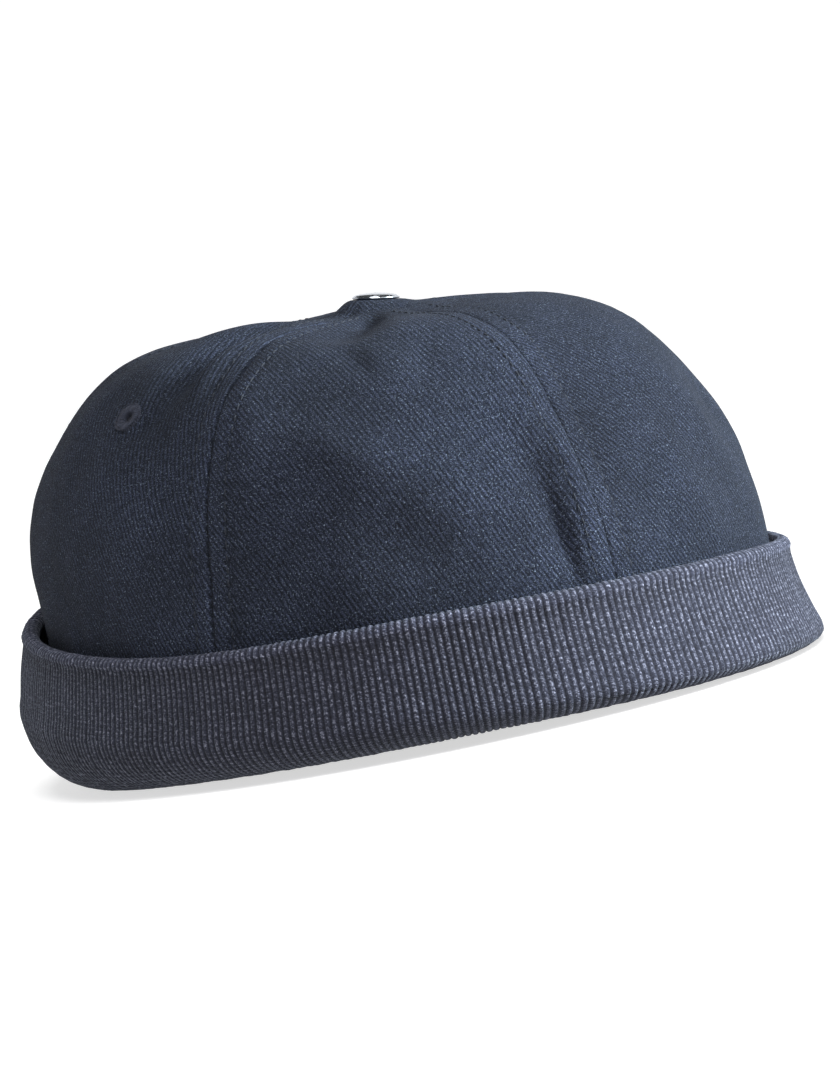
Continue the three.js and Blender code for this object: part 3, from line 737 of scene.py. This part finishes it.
def rods(start, end, up, thread, rise, sunk):
    """Rods with rounded ends between pairs of points, each six rings of six points. A rod's middle
    rises, and the whole of it sinks, by shares of the thread's thickness."""
    ring = np.linspace(0, 1, 6)[:, None]
    bulge = 1 - (2 * ring - 1) ** 2
    centre = start[:, None] + (end - start)[:, None] * ring + up[:, None] * thread * (rise * bulge - sunk)
    side = np.cross(end - start, up)
    side /= np.linalg.norm(side, axis=-1, keepdims=True)
    girth = thread / 2 * np.sqrt(1 - (2 * ring - 1) ** 4 * 0.98)
    angle = np.linspace(0, 2 * np.pi, 7)[:-1, None]
    around = side[:, None, None] * np.cos(angle) + up[:, None, None] * np.sin(angle)
    return centre[:, :, None] + around * girth[..., None]


def rod_faces(count, rings, sides):
    """Quads of many rods with closed ends, each rings by sides points."""
    ring, side = np.meshgrid(np.arange(rings - 1), np.arange(sides), indexing="ij")
    ring, side = ring.ravel(), side.ravel()
    after = (side + 1) % sides
    body = np.stack([ring * sides + side, ring * sides + after, (ring + 1) * sides + after, (ring + 1) * sides + side], -1)
    last = (rings - 1) * sides
    caps = np.array([[3, 2, 1, 0], [0, 5, 4, 3], [last, last + 1, last + 2, last + 3], [last + 3, last + 4, last + 5, last]])
    one = np.concatenate([body, caps])
    return (np.arange(count)[:, None, None] * rings * sides + one).reshape(-1, 4)


def rod_uv(shape, length, thread):
    """UV places for the points of rods: along and round, in metres."""
    count, rings, sides = shape[:3]
    ring = np.broadcast_to(np.arange(rings)[:, None] * length / rings, (count, rings, sides))
    side = np.broadcast_to(np.arange(sides) * thread / 2, (count, rings, sides))
    return np.stack([ring, side], -1).reshape(-1, 2)


class CAP_OT_twill_panels(Operator):
    """Six twill panels of the crown, each a closed shell, four of them with an air hole"""
    bl_idname = "cap.twill_panels"
    bl_label = "Twill panels"

    def execute(self, context):
        s, trim = context.scene.cap_crown, context.scene.cap_trim
        material = twill_material(context.scene.cap_looks)
        shift = cap_shift()
        rows, columns = 180, 112
        step = np.linspace(0, 1, columns)
        share = (step - 0.6 * np.sin(2 * np.pi * step) / (2 * np.pi))[None, :]
        place = np.linspace(0, 1, rows)[:, None]
        for number, (name, foot, tip, bow, crisp, hole) in enumerate(PANELS):
            outer, normal, across, up, painted_light_and_wear = panel_point(s, number, share, place)
            inner = panel_point(s, number, share, place, s.cloth)[0]
            kept = np.ones((rows - 1, columns - 1), bool)
            if hole:
                centre = panel_point(s, number, hole, AIR_HOLE_PLACE)[0]
                cell = (outer[:-1, :-1] + outer[1:, 1:]) / 2
                kept = np.linalg.norm(cell - centre, axis=-1) > trim.eyelet * 0.36
            faces = shell_faces(rows, columns, kept)
            uv = np.stack([across, up], -1).reshape(-1, 2)
            both = np.concatenate([uv, uv])
            points = np.concatenate([outer.reshape(-1, 3), inner.reshape(-1, 3)]) + shift
            # Tone of wear and painted light and shade on the outer skin, none on the inner skin
            lift = np.concatenate([painted_light_and_wear.ravel(), 0 * painted_light_and_wear.ravel()])
            piece = make_piece(f"twill_{name}", points, faces, both[faces], material, lift)
            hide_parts(f"{name}_panel")
        return {"FINISHED"}


class CAP_OT_topstitching(Operator):
    """Rows of topstitching on both sides of every seam of the crown"""
    bl_idname = "cap.topstitching"
    bl_label = "Topstitching"

    def execute(self, context):
        s, trim = context.scene.cap_crown, context.scene.cap_trim
        material = thread_material("twisted_sewing_thread", context.scene.cap_looks.thread)
        shift = cap_shift()
        for number, (name, foot, tip, bow, crisp, hole) in enumerate(PANELS):
            before = (number - 1) % len(PANELS)
            rows = [sewn_row(s, number, True, trim, shift), sewn_row(s, before, False, trim, shift)]
            points = np.concatenate(rows)
            faces = rod_faces(*points.shape[:3])
            uv = rod_uv(points.shape, trim.stitch, trim.thread)
            piece = make_piece(f"topstitching_{name}", points, faces, uv[faces], material)
        return {"FINISHED"}


class CAP_OT_rib_cuff(Operator):
    """The rib-knit cuff, one closed ring with every rib modelled"""
    bl_idname = "cap.rib_cuff"
    bl_label = "Rib cuff"

    def execute(self, context):
        c, s = context.scene.cap_cuff, context.scene.cap_crown
        points, rib, walked, cuff_light_and_shade = cuff_grid(c, s, c.ribs * 4)
        rows, columns = points.shape[:2]
        faces, down, right = wrapped_faces(rows, columns)
        length = np.append(walked, walked[-1] + c.knit)
        uv = np.stack([right / 4.0, length[down]], -1)
        material = knit_material(context.scene.cap_looks)
        piece = make_piece("rib_knit_cuff", points + cap_shift(), faces[:, ::-1], uv[:, ::-1], material, cuff_light_and_shade)
        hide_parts("cuff")
        return {"FINISHED"}


class CAP_OT_eyelets(Operator):
    """Stitched rings round the four air holes"""
    bl_idname = "cap.eyelets"
    bl_label = "Eyelets"

    def execute(self, context):
        s, trim = context.scene.cap_crown, context.scene.cap_trim
        material = thread_material("eyelet_thread", context.scene.cap_looks.eyelet)
        shift = cap_shift()
        for number, (name, foot, tip, bow, crisp, hole) in enumerate(PANELS):
            if not hole:
                continue
            ring, strands = eyelet_ring(s, trim, number, hole)
            faces, down, right = wrapped_faces(*ring.shape[:2])
            more = rod_faces(*strands.shape[:3])
            points = np.concatenate([ring.reshape(-1, 3), strands.reshape(-1, 3)]) + shift
            uv = np.stack([right, down], -1) * trim.thread / 2
            uv = np.concatenate([uv, rod_uv(strands.shape, trim.stitch, trim.thread)[more]])
            faces = np.concatenate([faces, more + ring.size // 3])
            piece = make_piece(f"stitched_ring_{name}", points, faces, uv, material)
            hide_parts(f"eyelet_{name}")
        return {"FINISHED"}


def eyelet_ring(s, trim, number, hole):
    """A thread ring round an air hole: an oval section carried round the hole's axis, with a
    ridge for each wrap of thread. Rows go round the section and columns round the hole. With it
    come the loose strands over it: slanted wraps from the hole outwards and a purl round the rim."""
    seat = lambda share, place: panel_point(s, number, share, place)[0]
    centre = seat(hole, AIR_HOLE_PLACE)
    right = seat(hole - 0.03, AIR_HOLE_PLACE) - seat(hole + 0.03, AIR_HOLE_PLACE)
    up = seat(hole, AIR_HOLE_PLACE + 0.02) - seat(hole, AIR_HOLE_PLACE - 0.02)
    axis = np.cross(right, up)
    axis /= np.linalg.norm(axis)
    right /= np.linalg.norm(right)
    up = np.cross(axis, right)
    wraps, per_wrap, around = 30, 6, 20
    turn = np.linspace(0, 2 * np.pi, wraps * per_wrap, endpoint=False)[None, :]
    section = np.linspace(0, 2 * np.pi, around, endpoint=False)[:, None]
    ridge = 0.12 * MM * (np.abs(np.cos(turn * wraps / 2)) - 0.5)
    middle = (trim.eyelet + trim.bore) / 4
    wide = (trim.eyelet - trim.bore) / 4 * 0.9 + ridge + 0.12 * MM * np.sin(5 * turn + number)
    radius = middle - wide * np.cos(section)
    top, bottom = trim.cord * 0.55, -s.cloth - 0.5 * MM
    swell = np.sign(np.sin(section)) * np.abs(np.sin(section)) ** 0.7
    height = (top + bottom) / 2 + ((top - bottom) / 2 + ridge) * swell
    place = lambda r, t, h: centre + r[..., None] * (
        np.cos(t)[..., None] * right + np.sin(t)[..., None] * up
    ) + h[..., None] * axis
    rng = np.random.default_rng(40 + number)
    angle = 2 * np.pi * (np.arange(wraps) + rng.uniform(-0.35, 0.35, wraps)) / wraps
    inner = trim.bore / 2 * rng.uniform(0.75, 1.15, wraps)
    outer = trim.eyelet / 2 * rng.uniform(0.86, 1.08, wraps)
    high = np.full(wraps, top)
    start = place(inner, angle, high * 0.4)
    end = place(outer, angle + rng.uniform(0.05, 0.4, wraps), high * 0.1)
    purl = trim.eyelet / 2 * rng.uniform(0.88, 0.99, wraps)
    rim = place(purl, angle, high * 0.45)
    rim_end = place(purl, angle + rng.uniform(0.3, 0.55, wraps), high * 0.45)
    starts, ends = np.concatenate([start, rim]), np.concatenate([end, rim_end])
    strands = rods(starts, ends, np.broadcast_to(axis, starts.shape), trim.thread * 0.6, 0.9, 0.0)
    return place(radius + 0 * turn, turn + 0 * radius, height + 0 * turn), strands


class CAP_OT_button(Operator):
    """The metal button at the crown: domed cap with a rolled rim, post and back plate"""
    bl_idname = "cap.button"
    bl_label = "Button"

    def execute(self, context):
        low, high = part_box("top_button")
        radius = (high.x - low.x) / 2
        tip = context.scene.cap_crown.height
        cloth = context.scene.cap_crown.cloth
        thick = high.z - tip
        plate = tip - cloth - 0.3 * MM
        seat, lip = tip + 0.3 * MM, 0.3 * MM
        profile = [(0.0, low.z), (0.5 * radius, low.z), (0.6 * radius, low.z + 0.3 * MM), (0.5 * radius, plate - 0.1 * MM)]
        profile += [(1.5 * MM, plate), (1.5 * MM, seat), (0.8 * radius, seat)]
        rim = np.radians(np.linspace(-80, 110, 8))
        profile += [(radius - lip + lip * np.cos(a), seat + lip + lip * np.sin(a)) for a in rim]
        dome = np.radians(np.linspace(12, 90, 9))
        profile += [((radius - lip) * np.cos(a), seat + 1.7 * lip + (thick - 1.35 * MM) * np.sin(a)) for a in dome]
        profile = np.array(profile)
        sides = 96
        turn = np.linspace(0, 2 * np.pi, sides, endpoint=False)
        rows = len(profile)
        ring = profile[:, :1]
        points = np.stack([ring * np.cos(turn), ring * np.sin(turn), profile[:, 1:] + 0 * turn], -1)
        points[..., 2] += 0.75 * MM - points[..., :2] @ np.array(BUTTON_LEAN)
        points += np.array([(low.x + high.x) / 2, (low.y + high.y) / 2, 0])
        row, side = np.meshgrid(np.arange(rows - 1), np.arange(sides), indexing="ij")
        row, side = row.ravel(), side.ravel()
        after = (side + 1) % sides
        faces = np.stack([row * sides + side, row * sides + after, (row + 1) * sides + after, (row + 1) * sides + side], -1)
        uv = np.stack([side[:, None] + 0.0 * faces, row[:, None] + 0.0 * faces], -1)
        piece = make_piece("nickel_button", points, faces, uv, metal_material(context.scene.cap_looks))
        close_poles(piece)
        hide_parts("top_button")
        return {"FINISHED"}


def close_poles(piece):
    """Welds the points that lie on each other at the two ends of a turned piece."""
    import bmesh
    mesh = bmesh.new()
    mesh.from_mesh(piece.data)
    bmesh.ops.remove_doubles(mesh, verts=mesh.verts, dist=1e-7)
    mesh.to_mesh(piece.data)
    mesh.free()


class CAP_OT_stage(Operator):
    """A pale floor, an even room light, a soft key light at the right and the camera"""
    bl_idname = "cap.stage"
    bl_label = "Stage"

    def execute(self, context):
        looks = context.scene.cap_looks
        sweep = np.radians(np.linspace(0, 90, 13))
        ring = np.concatenate([[0.01, 0.3, 0.8, 1.6], 3.0 + np.sin(sweep), [4.0]])[:, None]
        rise = np.concatenate([[0.0] * 4, 1.0 - np.cos(sweep), [2.6]])[:, None]
        turn = np.linspace(0, 2 * np.pi, 96, endpoint=False)[None, :]
        points = np.stack([ring * np.cos(turn), ring * np.sin(turn), rise + 0 * turn], -1)
        row, side = np.meshgrid(np.arange(len(ring) - 1), np.arange(96), indexing="ij")
        row, side = row.ravel(), side.ravel()
        after = (side + 1) % 96
        faces = np.stack([row * 96 + side, (row + 1) * 96 + side, (row + 1) * 96 + after, row * 96 + after], -1)
        mesh = bpy.data.meshes.new("floor")
        mesh.from_pydata(points.reshape(-1, 3).tolist(), [], faces.tolist() + [list(range(96))])
        mesh.polygons.foreach_set("use_smooth", np.ones(len(mesh.polygons), bool))
        material, tree, shader = new_material("pale_floor")
        shader.inputs["Base Color"].default_value = with_alpha(looks.floor)
        shader.inputs["Roughness"].default_value = 0.9
        shader.inputs["Emission Color"].default_value = (1, 1, 1, 1)
        shader.inputs["Emission Strength"].default_value = looks.glow
        mesh.materials.append(material)
        floor = bpy.data.objects.new("floor", mesh)
        context.scene.collection.objects.link(floor)

        world = bpy.data.worlds.new("room")
        context.scene.world = world
        world.use_nodes = True
        world.node_tree.nodes["Background"].inputs["Color"].default_value = (1, 1, 1, 1)
        world.node_tree.nodes["Background"].inputs["Strength"].default_value = looks.sky

        card = bpy.data.objects.new("dark_card", bpy.data.meshes.new("dark_card"))
        corners = [(-0.85, -0.75, 0.0), (-0.85, 0.65, 0.0), (-0.85, 0.65, 1.1), (-0.85, -0.75, 1.1)]
        card.data.from_pydata(corners, [], [(0, 1, 2, 3)])
        black, tree, shader = new_material("black_felt_card")
        shader.inputs["Base Color"].default_value = linear("#181818")
        shader.inputs["Roughness"].default_value = 1.0
        card.data.materials.append(black)
        card.visible_camera = False
        context.scene.collection.objects.link(card)
        key = add_light(context, "key", looks.key, 0.5, azimuth=44, elevation=16, distance=1.9)
        key.data.color = (0.9, 1.0, 1.04)
        add_light(context, "fill", looks.fill, 1.2, azimuth=-25, elevation=50, distance=2.0)
        shaded_floor = bpy.data.collections.new("out_of_key_light")
        shaded_floor.objects.link(floor)
        shaded_floor.collection_objects[0].light_linking.link_state = "EXCLUDE"
        key.light_linking.receiver_collection = shaded_floor
        add_camera(context)
        context.scene.view_settings.view_transform = "Standard"
        return {"FINISHED"}


def direction(azimuth, elevation):
    """Unit vector from the cap towards an azimuth, where 0 is at -Y and 90 at +X, and an
    elevation."""
    a, e = np.radians(azimuth), np.radians(elevation)
    return Vector((np.sin(a) * np.cos(e), -np.cos(a) * np.cos(e), np.sin(e)))


def add_light(context, name, power, width, azimuth, elevation, distance):
    """A square area light that faces the cap."""
    light = bpy.data.lights.new(name, "AREA")
    light.energy, light.size = power, width
    lamp = bpy.data.objects.new(name, light)
    away = direction(azimuth, elevation)
    lamp.location = away * distance + Vector((0, 0, VIEW_AIM_HEIGHT))
    lamp.rotation_mode = "QUATERNION"
    lamp.rotation_quaternion = (-away).to_track_quat("-Z", "Y")
    context.scene.collection.objects.link(lamp)
    return lamp


def add_camera(context):
    """The camera at the photograph's angle: it looks from the view's azimuth and elevation, rolled
    about its own axis, at a point right of and below the middle of the cap."""
    back = direction(VIEW_AZIMUTH, VIEW_ELEVATION)
    level = Vector((np.cos(np.radians(VIEW_AZIMUTH)), np.sin(np.radians(VIEW_AZIMUTH)), 0))
    upright = back.cross(level)
    roll = np.radians(VIEW_ROLL)
    right = level * np.cos(roll) - upright * np.sin(roll)
    up = level * np.sin(roll) + upright * np.cos(roll)
    aim = Vector((0, 0, VIEW_AIM_HEIGHT)) + right * VIEW_AIM_RIGHT - up * VIEW_AIM_DOWN
    camera = bpy.data.objects.new("camera", bpy.data.cameras.new("camera"))
    camera.data.lens = VIEW_LENS
    camera.data.clip_end = 30
    axes = Matrix((right, up, back)).transposed().to_4x4()
    camera.matrix_world = Matrix.Translation(aim + back * VIEW_DISTANCE) @ axes
    context.scene.collection.objects.link(camera)
    context.scene.camera = camera


STEPS = (
    CAP_OT_twill_panels,
    CAP_OT_topstitching,
    CAP_OT_rib_cuff,
    CAP_OT_eyelets,
    CAP_OT_button,
    CAP_OT_stage,
)
GROUPS = (
    ("cap_crown", CrownSizes),
    ("cap_cuff", CuffSizes),
    ("cap_trim", TrimSizes),
    ("cap_looks", Finishes),
)


class CAP_PT_panel(Panel):
    """Sizes, finishes and steps of the cap"""
    bl_idname = "CAP_PT_panel"
    bl_label = "Chef cap"
    bl_space_type = "VIEW_3D"
    bl_region_type = "UI"
    bl_category = "Chef cap"

    def draw(self, context):
        for step in STEPS:
            self.layout.operator(step.bl_idname)
        for name, group in GROUPS:
            box = self.layout.box()
            box.label(text=group.__doc__)
            for key in group.__annotations__:
                box.prop(getattr(context.scene, name), key)


def register():
    for name, group in GROUPS:
        bpy.utils.register_class(group)
        setattr(bpy.types.Scene, name, PointerProperty(type=group))
    for item in (*STEPS, CAP_PT_panel):
        bpy.utils.register_class(item)


def unregister():
    for item in (CAP_PT_panel, *reversed(STEPS)):
        bpy.utils.unregister_class(item)
    for name, group in reversed(GROUPS):
        delattr(bpy.types.Scene, name)
        bpy.utils.unregister_class(group)


def main():
    register()
    bpy.ops.cap.twill_panels()
    bpy.ops.cap.topstitching()
    bpy.ops.cap.rib_cuff()
    bpy.ops.cap.eyelets()
    bpy.ops.cap.button()
    bpy.ops.cap.stage()


if __name__ == "__main__":
    main()
